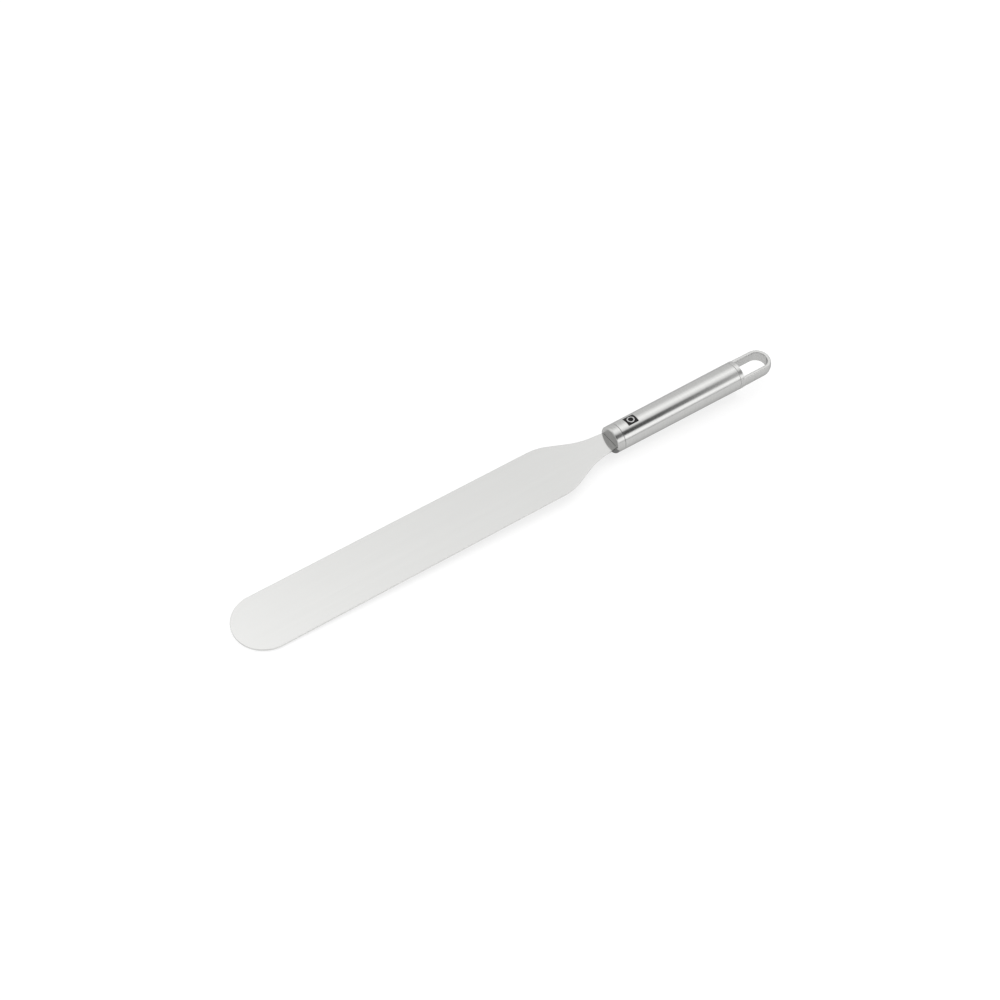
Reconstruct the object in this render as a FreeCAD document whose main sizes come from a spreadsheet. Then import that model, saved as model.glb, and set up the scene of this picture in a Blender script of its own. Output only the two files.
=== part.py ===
"""Straight spreading spatula: a flat blade in a hollow round handle with a hanging eye.

Frame: +X runs along the handle from the blade's tip to the hanging eye, +Y across the blade and
+Z up, square to the blade. The origin is the middle of the bounding box's base, so the handle's
lowest line lies in the plane Z = 0. Every piece is drawn about one local origin, the centre of the
front cap's face on the handle's axis, and its body's Placement carries it to the row's frame.
"""
import FreeCAD, Part
import math
import os
import Sketcher

ORIGIN, H_AXIS, V_AXIS = -1, -1, -2
START, END, CENTRE = 1, 2, 3
DEGREE = "1 deg"

SIZES = (
    ("blade_length", 270.0, "front cap's face to the tip of the blade"),
    ("blade_width", 40.8, "across the parallel sides"),
    ("blade_thickness", 1.2, "sheet the blade is cut from"),
    ("blade_edge_round", 0.3, "rounding of the blade's edges"),
    ("neck_shoulder", 1.1, "neck beyond the tang on each side"),
    ("neck_run", 9.0, "straight part of the neck's side"),
    ("neck_taper", 5.7, "slope of the neck's side, degrees"),
    ("neck_radius", 52.0, "hollow curve between neck and shoulder"),
    ("shoulder_angle", 24.0, "steepest slope of the shoulder, degrees"),
    ("shoulder_radius", 35.0, "round curve between shoulder and side"),
    ("tang_length", 34.0, "from the front cap's face into the handle"),
    ("tang_width", 12.5, "across the tang"),
    ("tang_thickness", 1.0, "tang, ground thinner than the blade"),
    ("tang_corner", 3.0, "rounding of the tang's inner corners"),
    ("slot_clearance", 0.15, "gap all round the tang, filled with braze"),
    ("braze_depth", 5.0, "how far the braze runs into the slot"),
    ("mouth_groove", 0.35, "leg of the filled groove along the slot's mouth"),
    ("handle_length", 130.0, "front cap's face to the end of the hanging eye"),
    ("front_diameter", 18.4, "handle at its front seam"),
    ("rear_diameter", 19.1, "handle at its rear seam"),
    ("front_cap_length", 5.9, "visible part of the front cap"),
    ("front_cap_round", 1.0, "rounding of the front cap's rim"),
    ("tube_wall", 0.8, "wall of the handle tube"),
    ("spigot_length", 8.0, "part of each end piece inside the tube"),
    ("spigot_clearance", 0.05, "gap between spigot and tube"),
    ("spigot_bore", 9.0, "hollow in the rear spigot"),
    ("seam_groove", 0.25, "leg of the chamfer on each side of a seam"),
    ("seam_weld_depth", 0.1, "how far a seam weld lies below the surface"),
    ("rear_disc_length", 2.9, "full round part behind the rear seam"),
    ("rear_disc_step", 0.05, "disc's rim above the eye's sides"),
    ("eye_reach", 27.5, "rear disc to the end of the hanging eye"),
    ("eye_height", 7.85, "over the eye's flat faces"),
    ("eye_ball_radius", 9.35, "round end that the eye is milled from"),
    ("eye_hole_width", 12.8, "across the hanging hole"),
    ("eye_edge_round", 0.7, "rounding of the eye's edges"),
    ("badge_length", 8.0, "badge along the handle"),
    ("badge_width", 7.4, "badge round the handle"),
    ("badge_setback", 6.4, "front seam to the front edge of the badge"),
    ("badge_turn", 6.0, "badge's middle from the top line, degrees"),
    ("badge_recess", 0.2, "depth of the badge's seat in the tube"),
    ("badge_thickness", 0.26, "badge plate, a little proud of the tube"),
)

doc = FreeCAD.newDocument("spreading_spatula")
sheet = doc.addObject("Spreadsheet::Sheet", "Sizes")
for row, (alias, number, meaning) in enumerate(SIZES, start=1):
    sheet.set(f"A{row}", meaning)
    sheet.set(f"B{row}", str(number))
    sheet.setAlias(f"B{row}", alias)
doc.recompute()


def size(alias):
    """Value of one named size."""
    return float(getattr(sheet, alias))


def cell(formula):
    """Formula with every named size pointed at the sheet."""
    words = formula.replace("(", " ( ").replace(")", " ) ").split()
    names = {alias for alias, _, _ in SIZES}
    return " ".join(f"Sizes.{word}" if word in names else word for word in words)


def value(formula):
    """Number that a formula gives now."""
    result = sheet.evalExpression(cell(formula))
    return float(getattr(result, "Value", result))


# Places along the handle that several pieces share.
REAR_SEAM = "( handle_length - eye_reach - rear_disc_length )"
EYE_START = "( handle_length - eye_reach )"
BALL_CENTRE = "( handle_length - eye_ball_radius )"
BADGE_FRONT = "( front_cap_length + badge_setback )"
BADGE_MIDDLE = "( front_cap_length + badge_setback + badge_length / 2 )"
NECK_HALF = "( tang_width / 2 + neck_shoulder )"
TAPER = f"( ( rear_diameter - front_diameter ) / 2 / ( {REAR_SEAM} - front_cap_length ) )"
FILL = "( seam_groove - seam_weld_depth )"


def tube_radius(place):
    """Formula for the tube's outer radius at a place along the handle."""
    return f"( front_diameter / 2 + {TAPER} * ( {place} - front_cap_length ) )"


SLOT_REACH = "( tang_width / 2 + slot_clearance )"
SLOT_HEIGHT = "( tang_thickness + 2 * slot_clearance )"
BADGE_ARC = f"badge_width / {tube_radius(BADGE_MIDDLE)} * {math.degrees(1):.5f}"


def new_body(name):
    """Body of one piece, placed so that the handle's axis and face reach the row's frame."""
    body = doc.addObject("PartDesign::Body", name)
    body.Label = name
    body.setExpression("Placement.Base.x", cell("( blade_length - handle_length ) / 2"))
    body.setExpression("Placement.Base.z", cell("rear_diameter / 2"))
    return body


def new_sketch(body, name, plane, turn=None):
    """Sketch on one of the body's own planes, turned about its horizontal axis by a formula."""
    sketch = body.newObject("Sketcher::SketchObject", name)
    support = next(f for f in body.Origin.OriginFeatures if f.Role == plane)
    sketch.AttachmentSupport = [(support, "")]
    sketch.MapMode = "FlatFace"
    if turn:
        sketch.AttachmentOffset = FreeCAD.Placement(
            FreeCAD.Vector(), FreeCAD.Rotation(FreeCAD.Vector(1, 0, 0), value(turn)))
        sketch.setExpression("AttachmentOffset.Rotation.Angle", f"( {cell(turn)} ) * {DEGREE}")
    return sketch


def bind(sketch, kind, *places, formula):
    """Dimension whose size is a formula on the sheet."""
    unit = math.radians if kind == "Angle" else float
    index = sketch.addConstraint(Sketcher.Constraint(kind, *places, unit(value(formula))))
    bound = f"( {cell(formula)} ) * {DEGREE}" if kind == "Angle" else cell(formula)
    sketch.setExpression(f"Constraints[{index}]", bound)


def pin(sketch, geometry, point, x, y):
    """Hold one point at a place given by two formulas."""
    for kind, axis, formula in (("DistanceX", V_AXIS, x), ("DistanceY", H_AXIS, y)):
        place = value(formula)
        if abs(place) < 1e-9:
            sketch.addConstraint(Sketcher.Constraint("PointOnObject", geometry, point, axis))
        elif place > 0:
            bind(sketch, kind, ORIGIN, START, geometry, point, formula=formula)
        else:
            bind(sketch, kind, geometry, point, ORIGIN, START, formula=f"0 - ( {formula} )")


def polygon(sketch, corners):
    """Closed outline of straight lines; each corner is a pair of formulas."""
    points = [FreeCAD.Vector(value(x), value(y), 0) for x, y in corners]
    base = sketch.GeometryCount
    for index, point in enumerate(points):
        sketch.addGeometry(Part.LineSegment(point, points[(index + 1) % len(points)]), False)
    for index, (x, y) in enumerate(corners):
        after = base + (index + 1) % len(points)
        sketch.addConstraint(Sketcher.Constraint("Coincident", base + index, END, after, START))
        pin(sketch, base + index, START, x, y)


def rectangle(sketch, left, right, low, high):
    """Closed rectangle between four formulas."""
    polygon(sketch, ((left, low), (right, low), (right, high), (left, high)))


def extrude(body, kind, sketch, formula):
    """Pad or pocket of one sketch, half to each side of its plane."""
    feature = body.newObject(f"PartDesign::{kind}", f"{sketch.Name}_{kind.lower()}")
    feature.Profile = sketch
    feature.SideType = "Symmetric"
    feature.setExpression("Length", cell(formula))
    sketch.Visibility = False
    doc.recompute()
    return feature


def turn_about_axis(body, kind, sketch, formula=None):
    """Revolution or groove about the handle's axis: a full turn, or a formula in degrees."""
    feature = body.newObject(f"PartDesign::{kind}", f"{sketch.Name}_{kind.lower()}")
    feature.Profile = sketch
    feature.ReferenceAxis = (sketch, ["H_Axis"])
    feature.Angle = 360.0
    if formula:
        feature.Midplane = True
        feature.setExpression("Angle", f"( {cell(formula)} ) * {DEGREE}")
    sketch.Visibility = False
    doc.recompute()
    return feature


def round_edges(body, formula, wanted):
    """Fillet on the edges of the body's tip that a test picks out."""
    base = body.Tip
    names = [f"Edge{n}" for n, edge in enumerate(base.Shape.Edges, start=1) if wanted(edge)]
    fillet = body.newObject("PartDesign::Fillet", f"{body.Name}_round_{len(body.Group)}")
    fillet.Base = (base, names)
    fillet.setExpression("Radius", cell(formula))
    doc.recompute()
    return fillet


def flat_at(edge, coordinate, place, slack=1e-4):
    """Whether an edge lies in the local plane where a coordinate has one value."""
    low = getattr(edge.BoundBox, f"{coordinate}Min")
    high = getattr(edge.BoundBox, f"{coordinate}Max")
    return abs(low - place) < slack and abs(high - place) < slack


def blade_outline(sketch):
    """Half of the blade's outline, from the neck's root round to the tip and back on the axis."""
    taper = math.radians(size("neck_taper"))
    slope = math.radians(size("shoulder_angle"))
    half = size("blade_width") / 2
    hollow = size("neck_radius")
    crown = size("shoulder_radius")
    vector = FreeCAD.Vector
    normal = vector(0, 0, 1)

    root = vector(0, value(NECK_HALF), 0)
    neck_end = root + vector(-math.cos(taper), math.sin(taper), 0) * size("neck_run")
    hollow_centre = neck_end + vector(math.sin(taper), math.cos(taper), 0) * hollow
    hollow_end = hollow_centre - vector(math.sin(slope), math.cos(slope), 0) * hollow
    rise = half - crown * (1 - math.cos(slope)) - hollow_end.y
    crown_start = hollow_end + vector(-rise / math.tan(slope), rise, 0)
    crown_centre = crown_start - vector(math.sin(slope), math.cos(slope), 0) * crown
    side_start = crown_centre + vector(0, crown, 0)
    tip_centre = vector(half - size("blade_length"), 0, 0)
    side_end = tip_centre + vector(0, half, 0)
    tip = tip_centre - vector(half, 0, 0)

    quarter = math.pi / 2
    neck_circle = Part.Circle(hollow_centre, normal, hollow)
    crown_circle = Part.Circle(crown_centre, normal, crown)
    tip_circle = Part.Circle(tip_centre, normal, half)
    outline = [
        Part.LineSegment(vector(), root),
        Part.LineSegment(root, neck_end),
        Part.ArcOfCircle(neck_circle, 3 * quarter - slope, 3 * quarter - taper),
        Part.LineSegment(hollow_end, crown_start),
        Part.ArcOfCircle(crown_circle, quarter - slope, quarter),
        Part.LineSegment(side_start, side_end),
        Part.ArcOfCircle(tip_circle, quarter, 2 * quarter),
        Part.LineSegment(tip, vector()),
    ]
    added = sketch.addGeometry(outline, False)
    root_line, neck, neck_arc, shoulder, crown_arc, side, tip_arc, middle = added
    rules = (
        ("Coincident", root_line, START, ORIGIN, START),
        ("Vertical", root_line),
        ("Coincident", root_line, END, neck, START),
        ("Tangent", neck, END, neck_arc, END),
        ("Tangent", neck_arc, START, shoulder, START),
        ("Tangent", shoulder, END, crown_arc, START),
        ("Tangent", crown_arc, END, side, START),
        ("Horizontal", side),
        ("Tangent", side, END, tip_arc, START),
        ("PointOnObject", tip_arc, CENTRE, H_AXIS),
        ("PointOnObject", tip_arc, END, H_AXIS),
        ("Coincident", tip_arc, END, middle, START),
        ("Coincident", middle, END, ORIGIN, START),
    )
    for rule in rules:
        sketch.addConstraint(Sketcher.Constraint(*rule))
    bind(sketch, "DistanceY", root_line, START, root_line, END, formula=NECK_HALF)
    bind(sketch, "Distance", neck, formula="neck_run")
    bind(sketch, "Angle", neck, formula="180 - neck_taper")
    bind(sketch, "Radius", neck_arc, formula="neck_radius")
    bind(sketch, "Angle", shoulder, formula="180 - shoulder_angle")
    bind(sketch, "Radius", crown_arc, formula="shoulder_radius")
    bind(sketch, "Radius", tip_arc, formula="blade_width / 2")
    bind(sketch, "DistanceX", tip_arc, END, ORIGIN, START, formula="blade_length")


def make_blade():
    """Flat sheet with a half-round tip, S-shaped shoulders, a neck and a thinner tang."""
    body = new_body("blade")
    outline = new_sketch(body, "blade_half_outline", "XY_Plane")
    blade_outline(outline)
    half = extrude(body, "Pad", outline, "blade_thickness")
    mirrored = body.newObject("PartDesign::Mirrored", "blade_both_halves")
    mirrored.Originals = [half]
    mirrored.MirrorPlane = (outline, ["H_Axis"])
    body.Tip = mirrored
    doc.recompute()

    face = size("blade_thickness") / 2

    def rim(edge):
        on_face = flat_at(edge, "Z", face) or flat_at(edge, "Z", -face)
        return on_face and not flat_at(edge, "X", 0.0)

    round_edges(body, "blade_edge_round", rim)
    tang = new_sketch(body, "tang_outline", "XY_Plane")
    rectangle(tang, "0", "tang_length", "0 - tang_width / 2", "tang_width / 2")
    extrude(body, "Pad", tang, "tang_thickness")
    corner = size("tang_width") / 2
    reach = size("tang_length")

    def inner_corner(edge):
        upright = flat_at(edge, "Y", corner) or flat_at(edge, "Y", -corner)
        return upright and flat_at(edge, "X", reach)

    round_edges(body, "tang_corner", inner_corner)
    return body


def mouth_grooves(body, kind, name):
    """Three-cornered groove, or its filling, along the top and bottom of the slot's mouth."""
    section = new_sketch(body, name, "XZ_Plane")
    edge = f"{SLOT_HEIGHT} / 2"
    polygon(section, (
        ("0", f"{edge} + mouth_groove"),
        ("0", edge),
        ("mouth_groove", edge),
    ))
    polygon(section, (
        ("0", f"0 - ( {edge} + mouth_groove )"),
        ("0", f"0 - {edge}"),
        ("mouth_groove", f"0 - {edge}"),
    ))
    extrude(body, kind, section, f"2 * {SLOT_REACH}")


def make_front_cap():
    """Turned plug with a rounded rim, a spigot and a slot for the tang."""
    body = new_body("front_cap")
    radius = "front_diameter / 2"
    spigot = "( spigot_clearance + tube_wall )"
    inner_end = "( front_cap_length + spigot_length )"
    profile = new_sketch(body, "front_cap_profile", "XY_Plane")
    polygon(profile, (
        ("0", "0"),
        (inner_end, "0"),
        (inner_end, f"{tube_radius(inner_end)} - {spigot}"),
        ("front_cap_length", f"{radius} - {spigot}"),
        ("front_cap_length", f"{radius} - seam_groove"),
        ("front_cap_length - seam_groove", radius),
        ("0", radius),
    ))
    turn_about_axis(body, "Revolution", profile)

    def rim(edge):
        return flat_at(edge, "X", 0.0)

    round_edges(body, "front_cap_round", rim)
    slot = new_sketch(body, "tang_slot", "XY_Plane")
    rectangle(slot, "0", f"{inner_end} + 1", f"0 - {SLOT_REACH}", SLOT_REACH)
    extrude(body, "Pocket", slot, SLOT_HEIGHT)
    mouth_grooves(body, "Pocket", "mouth_groove_section")
    return body


def make_blade_braze():
    """Filler round the tang in the cap's slot and in the grooves of the slot's mouth."""
    body = new_body("blade_braze")
    outer = new_sketch(body, "braze_outer", "XY_Plane")
    rectangle(outer, "0", "braze_depth", f"0 - {SLOT_REACH}", SLOT_REACH)
    extrude(body, "Pad", outer, SLOT_HEIGHT)
    mouth_grooves(body, "Pad", "mouth_filling_section")
    hollow = new_sketch(body, "braze_inner", "XY_Plane")
    rectangle(hollow, "0", "braze_depth + 1", "0 - tang_width / 2", "tang_width / 2")
    extrude(body, "Pocket", hollow, "tang_thickness")
    return body


def make_handle_tube():
    """Tapering tube with chamfered ends and a shallow seat for the badge."""
    body = new_body("handle_tube")
    front = "front_diameter / 2"
    rear = "rear_diameter / 2"
    profile = new_sketch(body, "tube_profile", "XY_Plane")
    polygon(profile, (
        ("front_cap_length", f"{front} - tube_wall"),
        (REAR_SEAM, f"{rear} - tube_wall"),
        (REAR_SEAM, f"{rear} - seam_groove"),
        (f"{REAR_SEAM} - seam_groove", tube_radius(f"( {REAR_SEAM} - seam_groove )")),
        ("front_cap_length + seam_groove", tube_radius("( front_cap_length + seam_groove )")),
        ("front_cap_length", f"{front} - seam_groove"),
    ))
    turn_about_axis(body, "Revolution", profile)
    seat = badge_profile(body, "badge_seat", f"{tube_radius(BADGE_MIDDLE)} + 1")
    turn_about_axis(body, "Groove", seat, BADGE_ARC)
    return body


def badge_profile(body, name, top):
    """Section of the badge or of its seat, in the plane through the badge's middle."""
    floor = f"{tube_radius(BADGE_MIDDLE)} - badge_recess"
    sketch = new_sketch(body, name, "XZ_Plane", turn="0 - badge_turn")
    rectangle(sketch, BADGE_FRONT, f"{BADGE_FRONT} + badge_length", floor, top)
    return sketch


def make_badge_plate():
    """Small curved square plate that fills its seat in the tube."""
    body = new_body("badge_plate")
    top = f"{tube_radius(BADGE_MIDDLE)} - badge_recess + badge_thickness"
    turn_about_axis(body, "Revolution", badge_profile(body, "badge_section", top), BADGE_ARC)
    return body


def make_hanging_loop():
    """Rear end piece: spigot, disc and a ball-ended bar milled flat and slotted into an eye."""
    body = new_body("hanging_loop")
    radius = "rear_diameter / 2"
    spigot = "( spigot_clearance + tube_wall )"
    inner_end = f"( {REAR_SEAM} - spigot_length )"
    corners = (
        (REAR_SEAM, "0"),
        (REAR_SEAM, "spigot_bore / 2"),
        (inner_end, "spigot_bore / 2"),
        (inner_end, f"{tube_radius(inner_end)} - {spigot}"),
        (REAR_SEAM, f"{radius} - {spigot}"),
        (REAR_SEAM, f"{radius} - seam_groove"),
        (f"{REAR_SEAM} + seam_groove", radius),
        (EYE_START, radius),
        (EYE_START, f"{radius} - rear_disc_step"),
    )
    ball = size("eye_ball_radius")
    centre = FreeCAD.Vector(value(BALL_CENTRE), 0, 0)
    points = [FreeCAD.Vector(value(x), value(y), 0) for x, y in corners]
    points.append(centre + FreeCAD.Vector(0, ball, 0))
    outline = [Part.LineSegment(start, end) for start, end in zip(points, points[1:])]
    circle = Part.Circle(centre, FreeCAD.Vector(0, 0, 1), ball)
    outline.append(Part.ArcOfCircle(circle, 0, math.pi / 2))
    outline.append(Part.LineSegment(centre + FreeCAD.Vector(ball, 0, 0), points[0]))
    profile = new_sketch(body, "loop_profile", "XY_Plane")
    *lines, arc, middle = profile.addGeometry(outline, False)
    for line, (x, y) in zip(lines, corners):
        pin(profile, line, START, x, y)
    rules = [("Coincident", before, END, after, START) for before, after in zip(lines, lines[1:])]
    rules += (
        ("Coincident", lines[-1], END, arc, END),
        ("Vertical", arc, CENTRE, arc, END),
        ("PointOnObject", arc, CENTRE, H_AXIS),
        ("PointOnObject", arc, START, H_AXIS),
        ("Coincident", arc, START, middle, START),
        ("Coincident", middle, END, lines[0], START),
    )
    for rule in rules:
        profile.addConstraint(Sketcher.Constraint(*rule))
    bind(profile, "Radius", arc, formula="eye_ball_radius")
    bind(profile, "DistanceX", ORIGIN, START, arc, CENTRE, formula=BALL_CENTRE)
    turn_about_axis(body, "Revolution", profile)

    flats = new_sketch(body, "eye_flats", "XZ_Plane")
    for low, high in (("eye_height / 2", "rear_diameter"), ("0 - rear_diameter", "0 - eye_height / 2")):
        rectangle(flats, EYE_START, "handle_length + 1", low, high)
    extrude(body, "Pocket", flats, "2 * rear_diameter")

    hole = new_sketch(body, "eye_hole", "XY_Plane")
    hole_outline(hole)
    extrude(body, "Pocket", hole, "2 * rear_diameter")
    flat = size("eye_height") / 2
    start = value(EYE_START)

    def eye_edge(edge):
        on_flat = flat_at(edge, "Z", flat) or flat_at(edge, "Z", -flat)
        return on_flat and not flat_at(edge, "X", start)

    round_edges(body, "eye_edge_round", eye_edge)
    return body


def hole_outline(sketch):
    """Hanging hole: straight sides from the rear disc to a half-round end."""
    half = size("eye_hole_width") / 2
    start = value(EYE_START)
    centre = FreeCAD.Vector(value(BALL_CENTRE), 0, 0)
    low = FreeCAD.Vector(start, -half, 0)
    high = FreeCAD.Vector(start, half, 0)
    circle = Part.Circle(centre, FreeCAD.Vector(0, 0, 1), half)
    parts = (
        Part.LineSegment(high, low),
        Part.LineSegment(low, centre - FreeCAD.Vector(0, half, 0)),
        Part.ArcOfCircle(circle, -math.pi / 2, math.pi / 2),
        Part.LineSegment(centre + FreeCAD.Vector(0, half, 0), high),
    )
    back, near, end, far = sketch.addGeometry(list(parts), False)
    rules = (
        ("Vertical", back),
        ("Coincident", back, END, near, START),
        ("Tangent", near, END, end, START),
        ("Tangent", end, END, far, START),
        ("Coincident", far, END, back, START),
        ("Horizontal", near),
        ("Horizontal", far),
        ("PointOnObject", end, CENTRE, H_AXIS),
    )
    for rule in rules:
        sketch.addConstraint(Sketcher.Constraint(*rule))
    bind(sketch, "Radius", end, formula="eye_hole_width / 2")
    bind(sketch, "DistanceX", ORIGIN, START, end, CENTRE, formula=BALL_CENTRE)
    bind(sketch, "DistanceX", ORIGIN, START, back, START, formula=EYE_START)


def make_seam_weld(name, seam, radius, ahead, behind):
    """Filler ring in the groove at a seam, its section reaching ahead of and behind the seam."""
    body = new_body(name)
    section = new_sketch(body, f"{name}_section", "XY_Plane")
    top = f"{radius} - seam_weld_depth"
    polygon(section, (
        (seam, f"{radius} - seam_groove"),
        (f"{seam} + {behind}", top),
        (f"{seam} - {ahead}", top),
    ))
    turn_about_axis(body, "Revolution", section)
    return body


pieces = [
    make_blade(),
    make_front_cap(),
    make_blade_braze(),
    make_handle_tube(),
    make_badge_plate(),
    make_hanging_loop(),
    make_seam_weld("front_seam_weld", "front_cap_length", "front_diameter / 2",
                   ahead=FILL, behind=f"{FILL} / ( 1 + {TAPER} )"),
    make_seam_weld("rear_seam_weld", REAR_SEAM, "rear_diameter / 2",
                   ahead=f"{FILL} / ( 1 - {TAPER} )", behind=FILL),
]
doc.recompute()

for thing in doc.Objects:
    if "Invalid" in thing.State or "Error" in thing.State:
        raise RuntimeError(f"{thing.Label} failed: {thing.State}")
    if thing.isDerivedFrom("Sketcher::SketchObject") and thing.solve() != 0:
        raise RuntimeError(f"{thing.Label} does not solve")
for piece in pieces:
    if piece.Shape.isNull() or not piece.Shape.isValid() or len(piece.Shape.Solids) != 1:
        raise RuntimeError(f"{piece.Label} is not one valid solid")

os.makedirs("parts", exist_ok=True)
for piece in pieces:
    piece.Shape.exportStep(f"parts/{piece.Label}.step")
    box = piece.Shape.BoundBox
    print(f"{piece.Label}: {piece.Shape.Volume:.1f} mm3, X {box.XMin:.2f}..{box.XMax:.2f}, "
          f"Y {box.YMin:.2f}..{box.YMax:.2f}, Z {box.ZMin:.2f}..{box.ZMax:.2f}")
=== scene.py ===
"""Looks of a straight spreading spatula: round-tipped steel blade, hollow handle and hanging eye."""

import logging
import math
from dataclasses import dataclass, field
from enum import Enum
from typing import Iterable, Optional, Sequence

import bmesh
import bpy
from mathutils import Matrix, Vector


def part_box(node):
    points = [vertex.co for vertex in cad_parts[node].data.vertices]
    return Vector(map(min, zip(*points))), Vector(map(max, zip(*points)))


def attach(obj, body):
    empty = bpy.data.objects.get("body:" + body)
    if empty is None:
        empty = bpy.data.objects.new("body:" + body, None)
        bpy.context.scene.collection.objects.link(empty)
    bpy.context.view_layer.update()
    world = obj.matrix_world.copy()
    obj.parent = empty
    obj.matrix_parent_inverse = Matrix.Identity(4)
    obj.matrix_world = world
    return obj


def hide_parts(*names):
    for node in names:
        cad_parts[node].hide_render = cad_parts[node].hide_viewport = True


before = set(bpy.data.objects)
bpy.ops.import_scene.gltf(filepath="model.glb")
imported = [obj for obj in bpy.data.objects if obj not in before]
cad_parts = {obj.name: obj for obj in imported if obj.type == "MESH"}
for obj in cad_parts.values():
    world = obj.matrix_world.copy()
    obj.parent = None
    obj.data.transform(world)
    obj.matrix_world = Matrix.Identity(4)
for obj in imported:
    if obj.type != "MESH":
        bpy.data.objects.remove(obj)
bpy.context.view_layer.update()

LOG = logging.getLogger("spatula")
ROOT = "root"
MM = 0.001
SAME_PLACE = 1e-6
SAME_ROW = 1e-9
MERGE_REACH = 0.001 * MM
HALF_TURN = 180.0
QUARTER_TURN = 0.25


class Grain(Enum):
    """Which way a steel surface was brushed."""

    TURNED = "turned"
    LENGTHWISE = "lengthwise"


def handle_axis_height() -> float:
    """Returns the height of the handle's axis above the frame's base."""
    low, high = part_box("handle_tube")
    return (low.z + high.z) / 2


def face_place() -> Vector:
    """Returns the centre of the front cap's face."""
    return Vector((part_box("front_cap")[0].x, 0.0, handle_axis_height()))


class NodeBench:
    """Short way to add and join nodes in one tree."""

    def __init__(self, tree: bpy.types.NodeTree) -> None:
        """Keeps the tree that the nodes go into."""
        self.tree = tree

    def add(self, kind: str, **settings: object) -> bpy.types.Node:
        """Adds one node.

        Args:
            kind: Blender's type name of the node.
            settings: attributes set on it.

        Returns:
            The new node.
        """
        node = self.tree.nodes.new(kind)
        for name, setting in settings.items():
            setattr(node, name, setting)
        return node

    def join(self, source: bpy.types.NodeSocket, target: bpy.types.NodeSocket) -> None:
        """Joins two sockets."""
        self.tree.links.new(source, target)

    def feed(self, target: bpy.types.NodeSocket, value: object) -> None:
        """Gives a socket either another socket or a plain value.

        Args:
            target: socket that is fed.
            value: socket or plain value.
        """
        if isinstance(value, bpy.types.NodeSocket):
            self.join(value, target)
        else:
            target.default_value = value


class NodeSheet(NodeBench):
    """Shader nodes of one material or of the surrounding light."""

    def __init__(self, tree: bpy.types.NodeTree) -> None:
        """Starts with an emptied tree."""
        super().__init__(tree)
        tree.nodes.clear()

    def math(self, operation: str, *values: object, clamp: bool = False) -> bpy.types.NodeSocket:
        """Adds a math node.

        Args:
            operation: name of the operation.
            values: sockets or numbers, in the node's order.
            clamp: whether the result is held between 0 and 1.

        Returns:
            The node's result socket.
        """
        node = self.add("ShaderNodeMath", operation=operation, use_clamp=clamp)
        for socket, value in zip(node.inputs, values):
            self.feed(socket, value)
        return node.outputs[0]

    def span(self, value: object, low: float, high: float,
             to_low: float, to_high: float) -> bpy.types.NodeSocket:
        """Maps one range smoothly to another, held at both ends.

        Args:
            value: what is mapped.
            low: value that gives the first result.
            high: value that gives the second result.
            to_low: first result.
            to_high: second result.

        Returns:
            The result's socket.
        """
        node = self.add("ShaderNodeMapRange", interpolation_type="SMOOTHSTEP")
        for name, given in (("Value", value), ("From Min", low), ("From Max", high),
                            ("To Min", to_low), ("To Max", to_high)):
            self.feed(node.inputs[name], given)
        return node.outputs["Result"]

    def noise(self, vector: object, scale: float, detail: float,
              fourth: object = None) -> bpy.types.NodeSocket:
        """Adds a noise texture.

        Args:
            vector: coordinates that it reads.
            scale: how fine it is.
            detail: how many finer layers it has.
            fourth: fourth coordinate, for a pattern that closes on itself round the handle.

        Returns:
            The grey output.
        """
        node = self.add("ShaderNodeTexNoise", noise_dimensions="4D" if fourth is not None else "3D")
        self.feed(node.inputs["Vector"], vector)
        node.inputs["Scale"].default_value = scale
        node.inputs["Detail"].default_value = detail
        if fourth is not None:
            self.feed(node.inputs["W"], fourth)
        return node.outputs[0]


def start_material(name: str) -> tuple[bpy.types.Material, NodeSheet, bpy.types.Node]:
    """Starts a material with one shader joined to its output.

    Args:
        name: name of the material.

    Returns:
        The material, its node sheet and its shader.
    """
    made = bpy.data.materials.new(name)
    made.use_nodes = True
    sheet = NodeSheet(made.node_tree)
    shader = sheet.add("ShaderNodeBsdfPrincipled")
    output = sheet.add("ShaderNodeOutputMaterial")
    sheet.join(shader.outputs[0], output.inputs["Surface"])
    return made, sheet, shader


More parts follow.
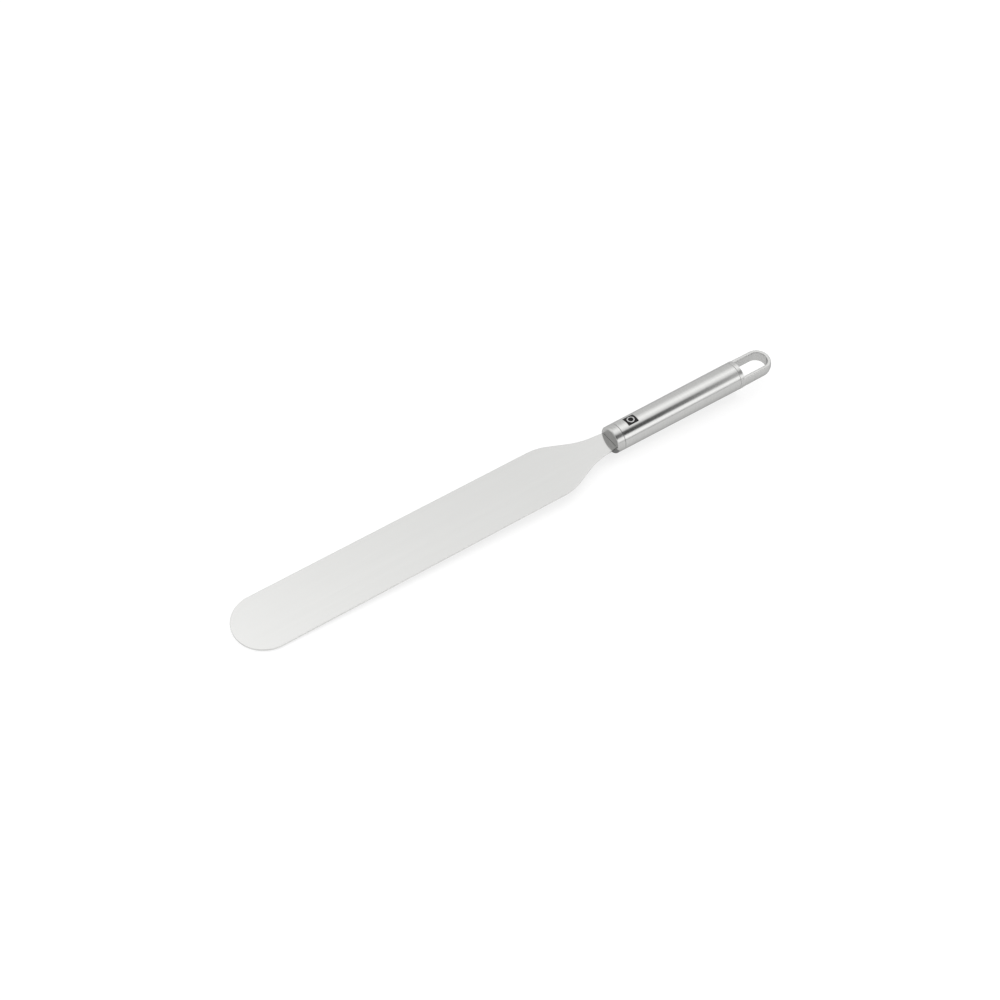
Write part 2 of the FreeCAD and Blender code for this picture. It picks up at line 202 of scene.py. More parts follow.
@dataclass(frozen=True)
class SteelFinish:
    """Brushed stainless steel: its tone and gloss, and the size of its brush lines."""

    name: str
    grain: Grain
    tone: float = 0.60
    tone_spread: float = 0.03
    roughness: float = 0.28
    roughness_spread: float = 0.06
    anisotropy: float = 0.7
    line_pitch: float = 0.25 * MM
    line_length: float = 14.0 * MM
    line_depth: float = 0.35 * MM
    line_strength: float = 0.05
    smudge: float = 0.05
    glancing_tone: float = 0.6
    # Painted highlight along a sheet's narrow sides: the sheet's lower and upper heights, how much
    # brighter, and the band's width.
    highlight_edges: Optional[tuple[float, float]] = None
    edge_highlight_tone: float = 0.15
    edge_highlight_band: tuple[float, float] = (0.08 * MM, 0.01 * MM)
    # Painted shade on the cap's face below the blade: its strength, how far behind the face it reaches and
    # how far below the axis.
    painted_shade_strength: float = 0.0
    painted_shade_behind: tuple[float, float] = (0.5 * MM, 1.6 * MM)
    painted_shade_below: tuple[float, float] = (1.2 * MM, 0.4 * MM)
    line_span: tuple[float, float] = (0.3, 0.7)
    gloss_span: tuple[float, float] = (0.25, 0.75)
    cloud_span: tuple[float, float] = (0.42, 0.72)
    print_span: tuple[float, float] = (0.5, 0.8)
    fine_share: float = 0.6
    coarse_share: float = 0.4
    coarse_scale: float = 0.17
    cloud_scale: float = 55.0
    print_scale: float = 160.0
    soiling: float = 0.25
    warmth: float = 0.985

    def brush_vector(self, sheet: NodeSheet) -> tuple[bpy.types.NodeSocket, object]:
        """Builds the coordinates that brush lines follow.

        Args:
            sheet: node sheet of the material.

        Returns:
            The vector socket and the fourth noise coordinate, a socket or a number.
        """
        place = sheet.add("ShaderNodeTexCoord").outputs["Object"]
        split = sheet.add("ShaderNodeSeparateXYZ")
        sheet.join(place, split.inputs[0])
        x, y, z = split.outputs
        across = 1.0 / self.line_pitch
        along = 1.0 / self.line_length
        combine = sheet.add("ShaderNodeCombineXYZ")
        if self.grain is Grain.TURNED:
            height = sheet.math("SUBTRACT", z, handle_axis_height())
            radius = sheet.math("SQRT", sheet.math("ADD", sheet.math("MULTIPLY", y, y),
                                                   sheet.math("MULTIPLY", height, height)))
            sheet.join(sheet.math("MULTIPLY", x, across), combine.inputs[0])
            sheet.join(sheet.math("MULTIPLY", radius, across), combine.inputs[1])
            sheet.join(sheet.math("MULTIPLY", height, along), combine.inputs[2])
            fourth = sheet.math("MULTIPLY", y, along)
        else:
            sheet.join(sheet.math("MULTIPLY", x, along), combine.inputs[0])
            sheet.join(sheet.math("MULTIPLY", y, across), combine.inputs[1])
            sheet.join(sheet.math("MULTIPLY", z, across), combine.inputs[2])
            fourth = 0.0
        return combine.outputs[0], fourth

    def painted_highlight_mask(self, sheet: NodeSheet, place: bpy.types.NodeSocket) -> bpy.types.NodeSocket:
        """Finds the sheet's narrow sides, where a highlight is painted into the steel's tone.

        Args:
            sheet: node sheet of the material.
            place: coordinates on the object.

        Returns:
            How much brighter the steel is there.
        """
        split = sheet.add("ShaderNodeSeparateXYZ")
        sheet.join(place, split.inputs[0])
        low, high = self.highlight_edges
        inner, outer = self.edge_highlight_band
        half = (high - low) / 2
        away = sheet.math("ABSOLUTE", sheet.math("SUBTRACT", split.outputs[2], (low + high) / 2))
        return sheet.span(away, half - inner, half - outer, self.edge_highlight_tone, 0.0)

    def painted_shade_mask(self, sheet: NodeSheet, place: bpy.types.NodeSocket) -> bpy.types.NodeSocket:
        """Finds the cap's face below the blade, where shade is painted into the steel's tone.

        Args:
            sheet: node sheet of the material.
            place: coordinates on the object.

        Returns:
            Factor on the steel's tone.
        """
        split = sheet.add("ShaderNodeSeparateXYZ")
        sheet.join(place, split.inputs[0])
        face = face_place()
        full, clear = (face.x + depth for depth in self.painted_shade_behind)
        near = sheet.span(split.outputs[0], full, clear, 1.0, 0.0)
        full, clear = (face.z - drop for drop in self.painted_shade_below)
        under = sheet.span(split.outputs[2], full, clear, 1.0, 0.0)
        painted_dark = sheet.math("MULTIPLY", sheet.math("MULTIPLY", near, under), self.painted_shade_strength)
        return sheet.math("SUBTRACT", 1.0, painted_dark)

    def paint_tone(self, sheet: NodeSheet, shader: bpy.types.Node, lines: bpy.types.NodeSocket,
                   soiled: bpy.types.NodeSocket, place: bpy.types.NodeSocket) -> None:
        """Gives the shader the steel's tone.

        Args:
            sheet: node sheet of the material.
            shader: the material's shader.
            lines: brush lines.
            soiled: where the surface is smudged.
            place: coordinates on the object.
        """
        dark, light = self.tone - self.tone_spread, self.tone + self.tone_spread
        tone = sheet.span(lines, *self.line_span, dark, light)
        tone = sheet.math("SUBTRACT", tone, sheet.math("MULTIPLY", soiled, self.soiling))
        # Painted highlight: brightens the sheet's narrow sides.
        if self.highlight_edges:
            tone = sheet.math("ADD", tone, self.painted_highlight_mask(sheet, place))
        # Painted shade: darkens the cap's face below the blade.
        if self.painted_shade_strength:
            tone = sheet.math("MULTIPLY", tone, self.painted_shade_mask(sheet, place))
        colour = sheet.add("ShaderNodeCombineColor")
        sheet.join(tone, colour.inputs[0])
        sheet.join(tone, colour.inputs[1])
        sheet.join(sheet.math("MULTIPLY", tone, self.warmth), colour.inputs[2])
        sheet.join(colour.outputs[0], shader.inputs["Base Color"])

    def set_grain(self, sheet: NodeSheet, shader: bpy.types.Node, lines: bpy.types.NodeSocket) -> None:
        """Gives the shader the fine relief and the direction of the brush lines.

        Args:
            sheet: node sheet of the material.
            shader: the material's shader.
            lines: brush lines.
        """
        bump = sheet.add("ShaderNodeBump")
        bump.inputs["Strength"].default_value = self.line_strength
        bump.inputs["Distance"].default_value = self.line_depth
        sheet.join(lines, bump.inputs["Height"])
        sheet.join(bump.outputs[0], shader.inputs["Normal"])
        shader.inputs["Anisotropic"].default_value = self.anisotropy
        shader.inputs["Anisotropic Rotation"].default_value = QUARTER_TURN
        if self.grain is Grain.TURNED:
            tangent = sheet.add("ShaderNodeTangent", direction_type="RADIAL", axis="X")
        else:
            tangent = sheet.add("ShaderNodeTangent", direction_type="UV_MAP", uv_map="grain")
        sheet.join(tangent.outputs[0], shader.inputs["Tangent"])

    def material(self) -> bpy.types.Material:
        """Builds the material.

        Returns:
            The finished node material.
        """
        made, sheet, shader = start_material(self.name)
        vector, fourth = self.brush_vector(sheet)
        fine = sheet.noise(vector, 1.0, 4.0, fourth)
        coarse = sheet.noise(vector, self.coarse_scale, 3.0, fourth)
        place = sheet.add("ShaderNodeTexCoord").outputs["Object"]
        cloud = sheet.noise(place, self.cloud_scale, 4.0)
        prints = sheet.noise(place, self.print_scale, 6.0)
        lines = sheet.math("ADD", sheet.math("MULTIPLY", fine, self.fine_share),
                           sheet.math("MULTIPLY", coarse, self.coarse_share))
        soiled = sheet.span(cloud, *self.cloud_span, 0.0, self.smudge)
        self.paint_tone(sheet, shader, lines, soiled, place)

        sharp, dull = self.roughness - self.roughness_spread, self.roughness + self.roughness_spread
        gloss = sheet.span(lines, *self.gloss_span, sharp, dull)
        gloss = sheet.math("ADD", gloss, soiled)
        touched = sheet.span(prints, *self.print_span, 0.0, self.smudge / 2)
        gloss = sheet.math("ADD", gloss, touched, clamp=True)
        sheet.join(gloss, shader.inputs["Roughness"])
        shader.inputs["Metallic"].default_value = 1.0
        shader.inputs["Specular Tint"].default_value = (*[self.glancing_tone] * 3, 1.0)
        self.set_grain(sheet, shader, lines)
        return made


@dataclass(frozen=True)
class EnamelFinish:
    """Glossy dark enamel or its pale inlay."""

    name: str
    tone: float
    roughness: float
    shine: float = 0.15
    speckle_scale: float = 2600.0
    tone_span: tuple[float, float] = (0.3, 0.7)
    gloss_span: tuple[float, float] = (0.3, 0.8)
    tone_spread: float = 0.2
    gloss_spread: float = 1.5
    relief: float = 0.05
    relief_depth: float = 0.1 * MM

    def material(self) -> bpy.types.Material:
        """Builds the material.

        Returns:
            The finished node material.
        """
        made, sheet, shader = start_material(self.name)
        place = sheet.add("ShaderNodeTexCoord").outputs["Object"]
        speckle = sheet.noise(place, self.speckle_scale, 3.0)
        dark, light = self.tone * (1 - self.tone_spread), self.tone * (1 + self.tone_spread)
        tone = sheet.span(speckle, *self.tone_span, dark, light)
        colour = sheet.add("ShaderNodeCombineColor")
        for channel in colour.inputs:
            sheet.join(tone, channel)
        sheet.join(colour.outputs[0], shader.inputs["Base Color"])
        gloss = sheet.span(speckle, *self.gloss_span, self.roughness, self.roughness * self.gloss_spread)
        sheet.join(gloss, shader.inputs["Roughness"])
        shader.inputs["Specular IOR Level"].default_value = self.shine
        bump = sheet.add("ShaderNodeBump")
        bump.inputs["Strength"].default_value = self.relief
        bump.inputs["Distance"].default_value = self.relief_depth
        sheet.join(speckle, bump.inputs["Height"])
        sheet.join(bump.outputs[0], shader.inputs["Normal"])
        return made


def mesh_object(name: str, mesh: bpy.types.Mesh, material: bpy.types.Material) -> bpy.types.Object:
    """Puts a mesh in the scene as an object at the origin.

    Args:
        name: name of the piece.
        mesh: its finished mesh.
        material: its material.

    Returns:
        The new object.
    """
    mesh.materials.clear()
    mesh.materials.append(material)
    piece = bpy.data.objects.new(name, mesh)
    bpy.context.scene.collection.objects.link(piece)
    return piece


def place_piece(piece: bpy.types.Object, replaced: Iterable[str]) -> None:
    """Rides a piece on the body, hides the nodes that it stands for and logs its face count.

    Args:
        piece: the finished piece.
        replaced: nodes that it stands for.
    """
    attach(piece, ROOT)
    for node in replaced:
        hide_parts(node)
    LOG.info("%s: %d faces", piece.name, len(piece.data.polygons))


def dress_node(node: str, material: bpy.types.Material) -> None:
    """Gives a CAD node its finish.

    Args:
        node: name of the node, which keeps its shape.
        material: its material.
    """
    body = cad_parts[node]
    for slot in body.material_slots:
        slot.material = material
    LOG.info("%s keeps its shape and takes %s", node, material.name)


@dataclass
class Blade:
    """The flat sheet, its neck and the tang inside the handle."""

    edge_round: float = 0.3 * MM
    neck_width: float = 14.7 * MM
    neck_run: float = 9.0 * MM
    neck_taper: float = math.radians(5.7)
    neck_radius: float = 52.0 * MM
    shoulder_angle: float = math.radians(24.0)
    shoulder_radius: float = 35.0 * MM
    tang_width: float = 12.5 * MM
    tang_thickness: float = 1.0 * MM
    tang_corner: float = 3.0 * MM
    tang_corner_steps: int = 6
    steps: int = 48
    rings: int = 5
    # The blade's finish paints a highlight along its narrow sides.
    finish: SteelFinish = field(default_factory=lambda: SteelFinish(
        "blade_satin", Grain.LENGTHWISE, tone=0.52, tone_spread=0.006, roughness=0.13,
        roughness_spread=0.012, anisotropy=0.35, line_pitch=0.3 * MM, line_length=40.0 * MM,
        line_strength=0.012, smudge=0.01,
        highlight_edges=(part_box("blade")[0].z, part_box("blade")[1].z), edge_highlight_tone=0.17))

    def half_outline(self) -> list[tuple[Vector, Vector]]:
        """Walks the edge from the neck's root to the tip.

        Returns:
            Pairs of a point and the outward direction there, in the blade's plane.
        """
        low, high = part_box("blade")
        half = high.y
        face = face_place()
        taper = self.neck_taper
        slope = self.shoulder_angle
        root = Vector((face.x, self.neck_width / 2, 0.0))
        neck_end = root + Vector((-math.cos(taper), math.sin(taper), 0.0)) * self.neck_run
        hollow_centre = neck_end + Vector((math.sin(taper), math.cos(taper), 0.0)) * self.neck_radius
        hollow_end = hollow_centre - Vector((math.sin(slope), math.cos(slope), 0.0)) * self.neck_radius
        rise = half - self.shoulder_radius * (1 - math.cos(slope)) - hollow_end.y
        crown_start = hollow_end + Vector((-rise / math.tan(slope), rise, 0.0))
        crown_centre = crown_start - Vector((math.sin(slope), math.cos(slope), 0.0)) * self.shoulder_radius
        tip_centre = Vector((low.x + half, 0.0, 0.0))

        walk = [(root, Vector((math.sin(taper), math.cos(taper), 0.0)))]
        for step in range(self.steps + 1):
            angle = taper + (slope - taper) * step / self.steps
            out = Vector((math.sin(angle), math.cos(angle), 0.0))
            walk.append((hollow_centre - out * self.neck_radius, out))
        for step in range(self.steps + 1):
            angle = slope * (1 - step / self.steps)
            out = Vector((math.sin(angle), math.cos(angle), 0.0))
            walk.append((crown_centre + out * self.shoulder_radius, out))
        for step in range(self.steps + 1):
            angle = math.pi / 2 * step / self.steps
            out = Vector((-math.sin(angle), math.cos(angle), 0.0))
            walk.append((tip_centre + out * half, out))
        return walk

    def sheet_mesh(self, thickness: float, height: float) -> bmesh.types.BMesh:
        """Builds the blade with rounded edges.

        Args:
            thickness: thickness of the sheet.
            height: height of its middle plane.

        Returns:
            The blade as a closed mesh.
        """
        upper = self.half_outline()
        lower = [(Vector((p.x, -p.y, 0.0)), Vector((n.x, -n.y, 0.0))) for p, n in reversed(upper[:-1])]
        outline = upper + lower
        built = bmesh.new()
        turns = [math.pi / 2 * k / self.rings for k in range(self.rings + 1)]
        profile = [(1 - math.sin(a), math.cos(a)) for a in turns]
        profile += [(inset, -rise) for inset, rise in reversed(profile)]
        middle = thickness / 2 - self.edge_round
        rings = []
        for order, (inset, rise) in enumerate(profile):
            side = 1.0 if order <= self.rings else -1.0
            level = height + side * middle + rise * self.edge_round
            rim = [point - out * inset * self.edge_round for point, out in outline]
            rings.append([built.verts.new((point.x, point.y, level)) for point in rim])
        count = len(outline)
        for first, second in zip(rings, rings[1:]):
            for index in range(count):
                after = (index + 1) % count
                built.faces.new((first[index], first[after], second[after], second[index]))
        built.faces.new(list(reversed(rings[0])))
        built.faces.new(rings[-1])
        bmesh.ops.recalc_face_normals(built, faces=built.faces)
        return built

    def add_tang(self, built: bmesh.types.BMesh, height: float) -> None:
        """Adds the tang inside the handle to the blade's mesh.

        Args:
            built: the blade's mesh.
            height: height of the blade's middle plane.
        """
        start = face_place().x
        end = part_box("blade")[1].x
        size = Vector((end - start, self.tang_width, self.tang_thickness))
        box = bmesh.ops.create_cube(built, size=1.0)["verts"]
        bmesh.ops.scale(built, vec=size, verts=box)
        bmesh.ops.translate(built, vec=Vector(((start + end) / 2, 0.0, height)), verts=box)
        edges = [e for e in built.edges if e.verts[0] in box and e.verts[1] in box
                 and all(abs(v.co.x - end) < SAME_PLACE for v in e.verts)
                 and abs(e.verts[0].co.y - e.verts[1].co.y) < SAME_PLACE]
        bmesh.ops.bevel(built, geom=edges, offset=self.tang_corner, segments=self.tang_corner_steps,
                        affect="EDGES", profile=0.5)

    def build(self) -> bpy.types.Object:
        """Builds and dresses the blade.

        Returns:
            The blade's object.
        """
        low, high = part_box("blade")
        height = (low.z + high.z) / 2
        built = self.sheet_mesh(high.z - low.z, height)
        self.add_tang(built, height)
        mesh = bpy.data.meshes.new("blade_sheet")
        built.to_mesh(mesh)
        built.free()
        grain = mesh.uv_layers.new(name="grain")
        for loop in mesh.loops:
            place = mesh.vertices[loop.vertex_index].co
            grain.data[loop.index].uv = (place.x, place.y)
        piece = mesh_object("blade_sheet", mesh, self.finish.material())
        self.smooth(piece)
        place_piece(piece, ["blade"])
        return piece

    def smooth(self, piece: bpy.types.Object) -> None:
        """Shades the rounded edge smoothly and leaves the faces flat.

        Args:
            piece: the blade's object.
        """
        mesh = piece.data
        mesh.polygons.foreach_set("use_smooth", [True] * len(mesh.polygons))
        sums = [Vector() for _ in mesh.vertices]
        for polygon in mesh.polygons:
            for index in polygon.vertices:
                sums[index] += polygon.normal * polygon.area
        mesh.normals_split_custom_set_from_vertices([s.normalized() for s in sums])


class ShapeTree(NodeBench):
    """Geometry Nodes tree that is built here, run once and turned into a plain mesh."""

    def __init__(self, name: str) -> None:
        """Starts a tree with a geometry output and a material input.

        Args:
            name: name of the tree.
        """
        super().__init__(bpy.data.node_groups.new(name, "GeometryNodeTree"))
        self.given: dict[str, object] = {}
        self.entry: Optional[bpy.types.Node] = None
        self.tree.interface.new_socket("Geometry", in_out="OUTPUT", socket_type="NodeSocketGeometry")
        self.tree.interface.new_socket("Material", in_out="INPUT", socket_type="NodeSocketMaterial")

    def sizes(self, **values: float) -> list[bpy.types.NodeSocket]:
        """Adds the tree's named sizes.

        Args:
            values: name and value of each size, in metres, or a count.

        Returns:
            The sockets that carry them inside the tree, in the same order.
        """
        for name, value in values.items():
            kind = "NodeSocketInt" if isinstance(value, int) else "NodeSocketFloat"
            self.tree.interface.new_socket(name, in_out="INPUT", socket_type=kind)
            self.given[name] = value
        self.entry = self.add("NodeGroupInput")
        return [self.entry.outputs[name] for name in values]

    def put(self, kind: str, inputs: dict[object, object], **settings: object) -> bpy.types.NodeSocket:
        """Adds one node and feeds it.

        Args:
            kind: Blender's type name of the node.
            inputs: what goes into each input, by name or number.
            settings: attributes set on it.

        Returns:
            The node's first output.
        """
        node = self.add(kind, **settings)
        for name, value in inputs.items():
            self.feed(node.inputs[name], value)
        return node.outputs[0]

    def math(self, operation: str, *values: object) -> bpy.types.NodeSocket:
        """Adds a math node and returns its result."""
        return self.put("ShaderNodeMath", dict(enumerate(values)), operation=operation)

    def vector(self, *parts: object) -> bpy.types.NodeSocket:
        """Joins three numbers to a vector."""
        return self.put("ShaderNodeCombineXYZ", dict(enumerate(parts)))

    def turn(self, section: bpy.types.NodeSocket, around: bpy.types.NodeSocket,
             height: bpy.types.NodeSocket) -> bpy.types.NodeSocket:
        """Turns a closed section about the handle's axis.

        Args:
            section: closed curve with the radius in X and the place along the handle in Y.
            around: how many steps one turn has.
            height: height of the axis.

        Returns:
            The closed mesh.
        """
        count = self.add("GeometryNodeAttributeDomainSize", component="CURVE")
        self.feed(count.inputs[0], section)
        points = count.outputs["Point Count"]
        row = self.math("ADD", around, 1.0)
        grid = self.put("GeometryNodeMeshGrid", {
            "Vertices X": self.math("ADD", points, 1.0), "Vertices Y": row})
        index = self.add("GeometryNodeInputIndex").outputs[0]
        column = self.math("FLOOR", self.math("DIVIDE", self.math("ADD", index, 0.5), row))
        step = self.math("MODULO", column, points)
        share = self.math("DIVIDE", self.math("MODULO", index, row), around)
        angle = self.math("MULTIPLY", share, 2 * math.pi)
        sampled = self.add("GeometryNodeSampleIndex", data_type="FLOAT_VECTOR", domain="POINT")
        self.feed(sampled.inputs["Geometry"], section)
        self.feed(sampled.inputs["Value"], self.add("GeometryNodeInputPosition").outputs[0])
        self.feed(sampled.inputs["Index"], step)
        split = self.add("ShaderNodeSeparateXYZ")
        self.feed(split.inputs[0], sampled.outputs[0])
        radius, place, _ = split.outputs
        across = self.math("MULTIPLY", radius, self.math("SINE", angle))
        rise = self.math("ADD", self.math("MULTIPLY", radius, self.math("COSINE", angle)), height)
        moved = self.put("GeometryNodeSetPosition", {
            "Geometry": grid, "Position": self.vector(place, across, rise)})
        merged = self.put("GeometryNodeMergeByDistance", {"Geometry": moved, "Distance": MERGE_REACH})
        return self.put("GeometryNodeSetShadeSmooth", {"Geometry": merged})

    def bake(self, geometry: bpy.types.NodeSocket, material: bpy.types.Material) -> bpy.types.Mesh:
        """Ends the tree, runs it and keeps the result.

        Args:
            geometry: what the tree has made.
            material: material that it is given.

        Returns:
            The plain mesh, with its faces pointing outwards.
        """
        real = self.put("GeometryNodeRealizeInstances", {0: geometry})
        dressed = self.put("GeometryNodeSetMaterial", {
            "Geometry": real, "Material": self.entry.outputs["Material"]})
        self.feed(self.add("NodeGroupOutput").inputs[0], dressed)
        host = bpy.data.objects.new(self.tree.name, bpy.data.meshes.new(self.tree.name))
        bpy.context.scene.collection.objects.link(host)
        modifier = host.modifiers.new("shape", "NODES")
        modifier.node_group = self.tree
        self.given["Material"] = material
        for item in self.tree.interface.items_tree:
            if item.in_out == "INPUT":
                modifier[item.identifier] = self.given[item.name]
        graph = bpy.context.evaluated_depsgraph_get()
        mesh = bpy.data.meshes.new_from_object(host.evaluated_get(graph))
        host.modifiers.clear()
        bpy.data.objects.remove(host)
        closed = bmesh.new()
        closed.from_mesh(mesh)
        bmesh.ops.recalc_face_normals(closed, faces=closed.faces)
        closed.to_mesh(mesh)
        closed.free()
        return mesh


@dataclass
class HandleTube:
    """Tapering tube with rounded lips at both seams."""

    wall: float = 0.8 * MM
    lip: float = 0.32 * MM
    lip_steps: int = 6
    around: int = 288
    finish: SteelFinish = field(default_factory=lambda: SteelFinish(
        "handle_brushed", Grain.TURNED, tone=0.50, tone_spread=0.025, roughness=0.22, roughness_spread=0.03,
        anisotropy=0.75, line_pitch=0.16 * MM, line_strength=0.05, smudge=0.02))

    def build(self) -> bpy.types.Object:
        """Turns the tube about the handle's axis.

        Returns:
            The tube's object.
        """
        low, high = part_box("handle_tube")
        cap_low, cap_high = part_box("front_cap")
        tree = ShapeTree("handle_shell")
        start, end, thick, thin, wall, lip, height, around, steps = tree.sizes(
            front_seam=low.x, rear_seam=high.x, rear_radius=(high.z - low.z) / 2,
            front_radius=(cap_high.z - cap_low.z) / 2, wall=self.wall, lip=self.lip,
            axis_height=handle_axis_height(), around=self.around, lip_steps=self.lip_steps)
        corners = ((thin, start), (thick, end), (tree.math("SUBTRACT", thick, wall), end),
                   (tree.math("SUBTRACT", thin, wall), start))
        section = tree.put("GeometryNodeCurvePrimitiveQuadrilateral", {
            f"Point {number}": tree.vector(radius, place, 0.0)
            for number, (radius, place) in enumerate(corners, start=1)}, mode="POINTS")
        rounded = tree.put("GeometryNodeFilletCurve", {
            "Curve": section, "Count": steps, "Radius": lip}, mode="POLY")
        material = self.finish.material()
        mesh = tree.bake(tree.turn(rounded, around, height), material)
        piece = mesh_object("tube_shell", mesh, material)
        place_piece(piece, ["handle_tube"])
        return piece


@dataclass
class SeamBeads:
    """Filler rings that lie a little below the surface at both seams."""

    depth: float = 0.24 * MM
    thickness: float = 0.13 * MM
    around: int = 256
    bead_steps: int = 12
    unit_bead: float = 0.01
    finish: SteelFinish = field(default_factory=lambda: SteelFinish(
        "filler_dull", Grain.TURNED, tone=0.07, tone_spread=0.02, roughness=0.55, anisotropy=0.0,
        smudge=0.1))

    def build(self) -> bpy.types.Object:
        """Repeats one ring at each seam.

        Returns:
            Both rings as one object.
        """
        low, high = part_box("handle_tube")
        cap_low, cap_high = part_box("front_cap")
        tree = ShapeTree("seam_rings")
        start, end, thin, thick, depth, bead, height, around = tree.sizes(
            front_seam=low.x, rear_seam=high.x, front_radius=(cap_high.z - cap_low.z) / 2,
            rear_radius=(high.z - low.z) / 2, depth=self.depth, bead_radius=self.thickness,
            axis_height=handle_axis_height(), around=self.around)
        line = tree.put("GeometryNodeMeshLine", {
            "Count": 2, "Start Location": tree.vector(start, 0.0, height),
            "Offset": tree.vector(end, 0.0, height)}, mode="END_POINTS")
        ring = tree.put("GeometryNodeCurveToMesh", {
            "Curve": tree.put("GeometryNodeCurvePrimitiveCircle", {"Resolution": around, "Radius": 1.0}),
            "Profile Curve": tree.put("GeometryNodeCurvePrimitiveCircle", {
                "Resolution": self.bead_steps, "Radius": self.unit_bead})})
        index = tree.add("GeometryNodeInputIndex").outputs[0]
        radius = tree.math("ADD", thin, tree.math("MULTIPLY", index, tree.math("SUBTRACT", thick, thin)))
        radius = tree.math("SUBTRACT", radius, depth)
        turned = tree.add("FunctionNodeAxisAngleToRotation")
        turned.inputs["Axis"].default_value = (0.0, 1.0, 0.0)
        turned.inputs["Angle"].default_value = math.pi / 2
        placed = tree.put("GeometryNodeInstanceOnPoints", {
            "Points": line, "Instance": ring, "Rotation": turned.outputs[0],
            "Scale": tree.vector(radius, radius, tree.math("MULTIPLY", bead, 1 / self.unit_bead))})
        material = self.finish.material()
        mesh = tree.bake(placed, material)
        for polygon in mesh.polygons:
            polygon.use_smooth = True
        piece = mesh_object("seam_rings", mesh, material)
        place_piece(piece, ["front_seam_weld", "rear_seam_weld"])
        return piece


@dataclass
class EndPieces:
    """Front cap, hanging eye and the filler round the tang, which keep their shapes."""

    # The cap's finish paints shade onto its face below the blade.
    cap: SteelFinish = field(default_factory=lambda: SteelFinish(
        "cap_turned", Grain.TURNED, tone=0.48, tone_spread=0.03, roughness=0.25, roughness_spread=0.03,
        anisotropy=0.6, line_pitch=0.2 * MM, line_strength=0.04, smudge=0.03, painted_shade_strength=0.6))
    eye: SteelFinish = field(default_factory=lambda: SteelFinish(
        "eye_satin", Grain.TURNED, tone=0.49, tone_spread=0.025, roughness=0.27, roughness_spread=0.04,
        anisotropy=0.4, line_pitch=0.25 * MM, line_strength=0.04, smudge=0.03))
    filler: SteelFinish = field(default_factory=lambda: SteelFinish(
        "braze_dull", Grain.TURNED, tone=0.30, tone_spread=0.05, roughness=0.5, anisotropy=0.0, smudge=0.1))

    def build(self) -> None:
        """Dresses the nodes."""
        dress_node("front_cap", self.cap.material())
        dress_node("hanging_loop", self.eye.material())
        dress_node("blade_braze", self.filler.material())


